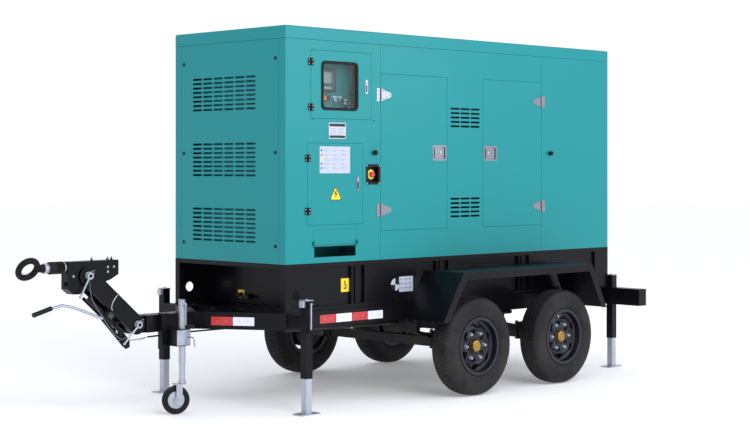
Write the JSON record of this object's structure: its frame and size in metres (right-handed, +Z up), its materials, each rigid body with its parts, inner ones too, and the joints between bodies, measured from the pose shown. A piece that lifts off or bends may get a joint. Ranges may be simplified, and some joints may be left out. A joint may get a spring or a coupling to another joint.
{
  "type": "towable diesel generator",
  "caption": "Tandem-axle towable diesel generator: sheet-steel canopy over an engine and alternator, base tank, corner jacks, jockey wheel and ring drawbar.",
  "frame": {"origin": "on the ground, in the middle of the whole object's length and width", "axes": "+X from the tow ring to the rear, -Y is the control side, +Z up"},
  "size_m": [5.704, 2.1, 2.717],
  "materials": {
    "canopy_paint": "satin teal paint on sheet steel",
    "chassis_paint": "satin black paint on steel",
    "axle_paint": "matt black paint on steel",
    "spring_steel": "blackened spring steel",
    "tyre": "black tyre rubber",
    "rim": "black painted pressed steel",
    "stainless": "stainless steel",
    "zinc": "zinc-plated steel",
    "galvanised": "galvanised steel",
    "rubber": "black rubber",
    "red_plastic": "glossy red plastic",
    "green_plastic": "glossy green plastic",
    "grip_plastic": "black grip plastic",
    "engine_paint": "painted cast iron",
    "alternator_paint": "painted steel and copper windings",
    "radiator_core": "black painted aluminium core",
    "silencer_steel": "heat-darkened steel",
    "battery_plastic": "black battery case",
    "breaker_plastic": "moulded grey plastic",
    "cabinet_paint": "teal paint on sheet steel",
    "ring_paint": "black paint on forged steel"
  },
  "bodies": {
    "chassis": {"chassis_frame": "chassis_paint", "leaf_springs": "spring_steel", "mudguards": "chassis_paint", "jack_tubes": "chassis_paint", "base_frame": "chassis_paint", "fuel_tank": "chassis_paint", "canopy_sides": "canopy_paint", "canopy_ends": "canopy_paint", "canopy_roof": "canopy_paint", "control_cabinet": "cabinet_paint", "engine": "engine_paint", "alternator": "alternator_paint", "radiator": "radiator_core", "silencer": "silencer_steel", "battery": "battery_plastic", "circuit_breaker": "breaker_plastic"},
    "axles": {"axles": "axle_paint"},
    "wheel_front_left": {"tyre_front_left": "tyre", "rim_front_left": "rim"},
    "wheel_front_right": {"tyre_front_right": "tyre", "rim_front_right": "rim"},
    "wheel_rear_left": {"tyre_rear_left": "tyre", "rim_rear_left": "rim"},
    "wheel_rear_right": {"tyre_rear_right": "tyre", "rim_rear_right": "rim"},
    "door_left_front": {"door_left_front": "canopy_paint"},
    "latch_left_front": {"latch_left_front": "stainless"},
    "door_left_rear": {"door_left_rear": "canopy_paint"},
    "latch_left_rear": {"latch_left_rear": "stainless"},
    "door_right_front": {"door_right_front": "canopy_paint"},
    "latch_right_front": {"latch_right_front": "stainless"},
    "door_right_rear": {"door_right_rear": "canopy_paint"},
    "latch_right_rear": {"latch_right_rear": "stainless"},
    "control_door": {"control_door": "canopy_paint"},
    "output_door": {"output_door": "canopy_paint"},
    "cable_flap": {"cable_flap": "canopy_paint"},
    "estop": {"estop_button": "red_plastic"},
    "start": {"start_button": "green_plastic"},
    "key": {"key_switch": "zinc"},
    "fan": {"cooling_fan": "grip_plastic"},
    "jack_leg_front_left": {"jack_leg_front_left": "galvanised"},
    "jack_crank_front_left": {"jack_crank_front_left": "zinc"},
    "jack_leg_front_right": {"jack_leg_front_right": "galvanised"},
    "jack_crank_front_right": {"jack_crank_front_right": "zinc"},
    "jack_leg_rear_left": {"jack_leg_rear_left": "galvanised"},
    "jack_crank_rear_left": {"jack_crank_rear_left": "zinc"},
    "jack_leg_rear_right": {"jack_leg_rear_right": "galvanised"},
    "jack_crank_rear_right": {"jack_crank_rear_right": "zinc"},
    "jockey_tube": {"jockey_tube": "zinc"},
    "jockey_leg": {"jockey_leg": "zinc"},
    "jockey_crank": {"jockey_crank": "zinc"},
    "jockey_fork": {"jockey_fork": "zinc"},
    "jockey_wheel": {"jockey_wheel": "rubber"},
    "drawbar_arm": {"drawbar_arm": "chassis_paint"},
    "coupling_head": {"coupling_head": "chassis_paint", "gaiter": "rubber"},
    "tow_eye": {"tow_eye": "ring_paint"},
    "lock_handle_front": {"lock_handle_front": "zinc"},
    "lock_handle_rear": {"lock_handle_rear": "zinc"},
    "brake_lever": {"brake_lever": "zinc"}
  },
  "joints": [
    {"name": "suspension", "type": "slide", "parent": "chassis", "child": "axles", "axis": [0, 0, 1], "range_m": [0, 0.05], "stiffness_N_per_m": 450000, "springref_m": -0.09, "deforming": ["leaf_springs"]},
    {"name": "wheel_front_left_spin", "type": "hinge", "parent": "axles", "child": "wheel_front_left", "pos_m": [0.51697, -0.951, 0.372], "axis": [0, 1, 0], "continuous": true},
    {"name": "wheel_front_right_spin", "type": "hinge", "parent": "axles", "child": "wheel_front_right", "pos_m": [0.51697, 0.951, 0.372], "axis": [0, 1, 0], "continuous": true},
    {"name": "wheel_rear_left_spin", "type": "hinge", "parent": "axles", "child": "wheel_rear_left", "pos_m": [1.52697, -0.951, 0.372], "axis": [0, 1, 0], "continuous": true},
    {"name": "wheel_rear_right_spin", "type": "hinge", "parent": "axles", "child": "wheel_rear_right", "pos_m": [1.52697, 0.951, 0.372], "axis": [0, 1, 0], "continuous": true},
    {"name": "door_left_front_swing", "type": "hinge", "parent": "chassis", "child": "door_left_front", "pos_m": [-0.12603, -0.6315, 1.8], "axis": [0, 0, -1], "range_deg": [0, 120]},
    {"name": "latch_left_front_lift", "type": "hinge", "parent": "door_left_front", "child": "latch_left_front", "pos_m": [0.46347, -0.618, 1.8265], "axis": [0, 0, -1], "range_deg": [0, 45]},
    {"name": "door_left_rear_swing", "type": "hinge", "parent": "chassis", "child": "door_left_rear", "pos_m": [1.73997, -0.6315, 1.8], "axis": [0, 0, 1], "range_deg": [0, 120]},
    {"name": "latch_left_rear_lift", "type": "hinge", "parent": "door_left_rear", "child": "latch_left_rear", "pos_m": [1.15047, -0.618, 1.8265], "axis": [0, 0, 1], "range_deg": [0, 45]},
    {"name": "door_right_front_swing", "type": "hinge", "parent": "chassis", "child": "door_right_front", "pos_m": [-0.12603, 0.6315, 1.8], "axis": [0, 0, 1], "range_deg": [0, 120]},
    {"name": "latch_right_front_lift", "type": "hinge", "parent": "door_right_front", "child": "latch_right_front", "pos_m": [0.46347, 0.618, 1.8265], "axis": [0, 0, 1], "range_deg": [0, 45]},
    {"name": "door_right_rear_swing", "type": "hinge", "parent": "chassis", "child": "door_right_rear", "pos_m": [1.73997, 0.6315, 1.8], "axis": [0, 0, -1], "range_deg": [0, 120]},
    {"name": "latch_right_rear_lift", "type": "hinge", "parent": "door_right_rear", "child": "latch_right_rear", "pos_m": [1.15047, 0.618, 1.8265], "axis": [0, 0, -1], "range_deg": [0, 45]},
    {"name": "control_door_swing", "type": "hinge", "parent": "chassis", "child": "control_door", "pos_m": [-0.82703, -0.6315, 2.31], "axis": [0, 0, -1], "range_deg": [0, 120]},
    {"name": "output_door_swing", "type": "hinge", "parent": "chassis", "child": "output_door", "pos_m": [-0.85703, -0.6315, 1.6], "axis": [0, 0, -1], "range_deg": [0, 120]},
    {"name": "cable_flap_lift", "type": "hinge", "parent": "chassis", "child": "cable_flap", "pos_m": [-0.59003, -0.625, 1.2685], "axis": [-1, 0, 0], "range_deg": [0, 75]},
    {"name": "estop_press", "type": "slide", "parent": "chassis", "child": "estop", "axis": [0, 1, 0], "range_m": [0, 0.004], "stiffness_N_per_m": 800},
    {"name": "start_press", "type": "slide", "parent": "chassis", "child": "start", "axis": [0, 1, 0], "range_m": [0, 0.003], "stiffness_N_per_m": 600},
    {"name": "key_turn", "type": "hinge", "parent": "chassis", "child": "key", "pos_m": [-0.38603, -0.52, 2.182], "axis": [0, 1, 0], "range_deg": [0, 90]},
    {"name": "fan_spin", "type": "hinge", "parent": "chassis", "child": "fan", "pos_m": [1.82197, 0, 1.566], "axis": [1, 0, 0], "continuous": true},
    {"name": "jack_front_left_raise", "type": "slide", "parent": "chassis", "child": "jack_leg_front_left", "axis": [0, 0, 1], "range_m": [0, 0.22]},
    {"name": "jack_front_left_wind", "type": "hinge", "parent": "chassis", "child": "jack_crank_front_left", "pos_m": [-1.03303, -0.836, 0.768], "axis": [0, 1, 0], "continuous": true},
    {"name": "jack_front_right_raise", "type": "slide", "parent": "chassis", "child": "jack_leg_front_right", "axis": [0, 0, 1], "range_m": [0, 0.22]},
    {"name": "jack_front_right_wind", "type": "hinge", "parent": "chassis", "child": "jack_crank_front_right", "pos_m": [-1.03303, 0.836, 0.768], "axis": [0, 1, 0], "continuous": true},
    {"name": "jack_rear_left_raise", "type": "slide", "parent": "chassis", "child": "jack_leg_rear_left", "axis": [0, 0, 1], "range_m": [0, 0.22]},
    {"name": "jack_rear_left_wind", "type": "hinge", "parent": "chassis", "child": "jack_crank_rear_left", "pos_m": [2.72397, -0.635, 0.768], "axis": [1, 0, 0], "continuous": true},
    {"name": "jack_rear_right_raise", "type": "slide", "parent": "chassis", "child": "jack_leg_rear_right", "axis": [0, 0, 1], "range_m": [0, 0.22]},
    {"name": "jack_rear_right_wind", "type": "hinge", "parent": "chassis", "child": "jack_crank_rear_right", "pos_m": [2.72397, 0.635, 0.768], "axis": [1, 0, 0], "continuous": true},
    {"name": "jockey_clamp_slide", "type": "slide", "parent": "chassis", "child": "jockey_tube", "axis": [0, 0, 1], "range_m": [0, 0.14]},
    {"name": "jockey_raise", "type": "slide", "parent": "jockey_tube", "child": "jockey_leg", "axis": [0, 0, 1], "range_m": [0, 0.1]},
    {"name": "jockey_wind", "type": "hinge", "parent": "jockey_tube", "child": "jockey_crank", "pos_m": [-1.62503, -0.194, 0.762], "axis": [0, 1, 0], "continuous": true},
    {"name": "jockey_swivel", "type": "hinge", "parent": "jockey_leg", "child": "jockey_fork", "pos_m": [-1.62503, -0.17, 0.23], "axis": [0, 0, 1], "continuous": true},
    {"name": "jockey_wheel_spin", "type": "hinge", "parent": "jockey_fork", "child": "jockey_wheel", "pos_m": [-1.66826, -0.15427, 0.1], "axis": [-0.342, -0.9397, 0], "continuous": true},
    {"name": "drawbar_lift", "type": "hinge", "parent": "chassis", "child": "drawbar_arm", "pos_m": [-1.91803, 0, 0.632], "axis": [0, 1, 0], "range_deg": [-25, 10]},
    {"name": "coupling_level", "type": "hinge", "parent": "drawbar_arm", "child": "coupling_head", "pos_m": [-2.32297, 0, 0.98774], "axis": [0, 1, 0], "range_deg": [-10, 25]},
    {"name": "overrun", "type": "slide", "parent": "coupling_head", "child": "tow_eye", "axis": [1, 0, 0], "range_m": [0, 0.04], "deforming": ["gaiter"]},
    {"name": "lock_handle_front_turn", "type": "hinge", "parent": "drawbar_arm", "child": "lock_handle_front", "pos_m": [-2.32297, -0.07, 0.98774], "axis": [0, 1, 0], "range_deg": [-60, 60]},
    {"name": "lock_handle_rear_turn", "type": "hinge", "parent": "drawbar_arm", "child": "lock_handle_rear", "pos_m": [-1.91803, -0.07, 0.632], "axis": [0, 1, 0], "range_deg": [-60, 60]},
    {"name": "brake_release", "type": "hinge", "parent": "drawbar_arm", "child": "brake_lever", "pos_m": [-1.99358, -0.02, 0.4854], "axis": [0, -1, 0], "range_deg": [0, 18]}
  ],
  "couplings": [
    {"joint": "jack_front_left_wind", "follows": "jack_front_left_raise", "rad_per_m": 1256.6},
    {"joint": "jack_front_right_wind", "follows": "jack_front_right_raise", "rad_per_m": 1256.6},
    {"joint": "jack_rear_left_wind", "follows": "jack_rear_left_raise", "rad_per_m": 1256.6},
    {"joint": "jack_rear_right_wind", "follows": "jack_rear_right_raise", "rad_per_m": 1256.6},
    {"joint": "jockey_wind", "follows": "jockey_raise", "rad_per_m": 1256.6},
    {"joint": "coupling_level", "follows": "drawbar_lift", "ratio": -1}
  ]
}
